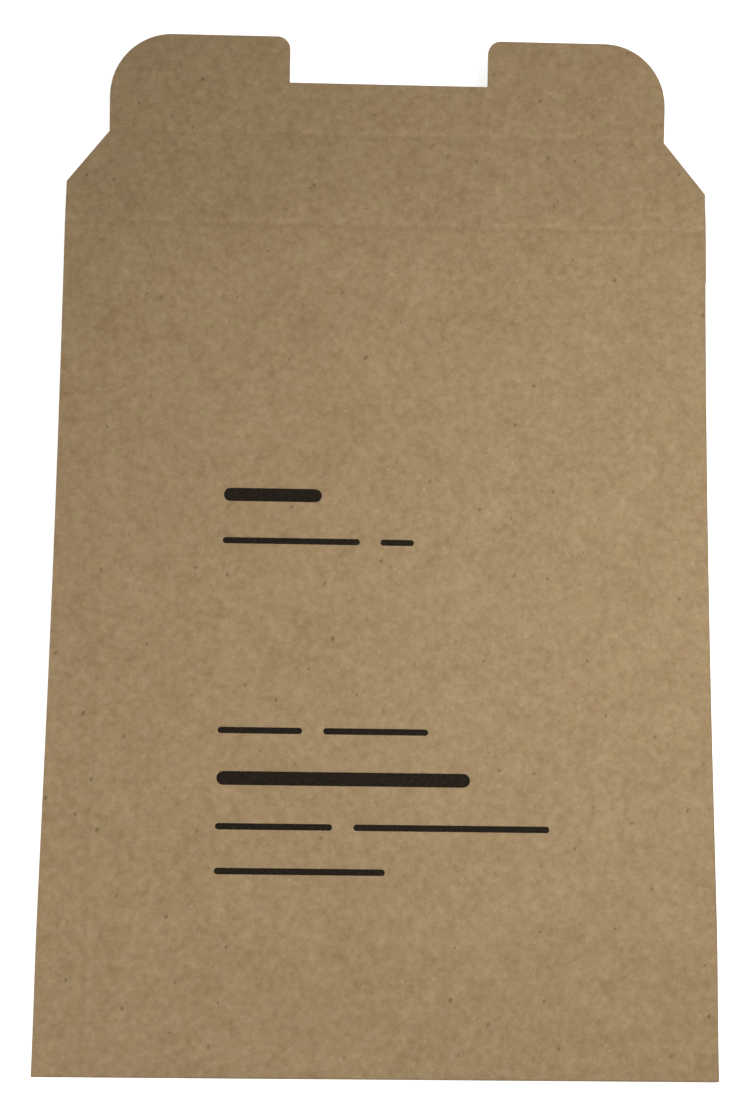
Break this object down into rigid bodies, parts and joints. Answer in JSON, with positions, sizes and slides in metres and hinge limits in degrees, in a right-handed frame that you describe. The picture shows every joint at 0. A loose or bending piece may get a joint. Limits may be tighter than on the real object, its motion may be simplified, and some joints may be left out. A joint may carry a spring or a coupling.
{
  "type": "paper mailer",
  "caption": "Flat kraft-board mailer with an open pocket and a folding tuck flap with two rounded ears and a notch between them.",
  "frame": {"origin": "middle of the back panel's outer face, which rests on the ground, half the body's length from the bottom fold", "axes": "+X across the sheet, to the right as seen from the front; +Y from the bottom fold to the flap; +Z out of the printed front, up"},
  "size_m": [0.254, 0.4017, 0.0261],
  "materials": {
    "kraft_board": "unbleached solid kraft board, matt and fibrous, with small dark and light specks"
  },
  "bodies": {
    "pocket": {"pocket": "kraft_board"},
    "closure_panel": {"closure_panel": "kraft_board"},
    "tuck_flap": {"tuck_flap": "kraft_board"}
  },
  "joints": [
    {"name": "flap_fold", "type": "hinge", "parent": "pocket", "child": "closure_panel", "pos_m": [0, 0.16317, 0.01696], "axis": [-1, 0, 0], "range_deg": [0, 110]},
    {"name": "tuck_fold", "type": "hinge", "parent": "closure_panel", "child": "tuck_flap", "pos_m": [0, 0.20107, 0.01696], "axis": [-1, 0, 0], "range_deg": [0, 103]}
  ]
}
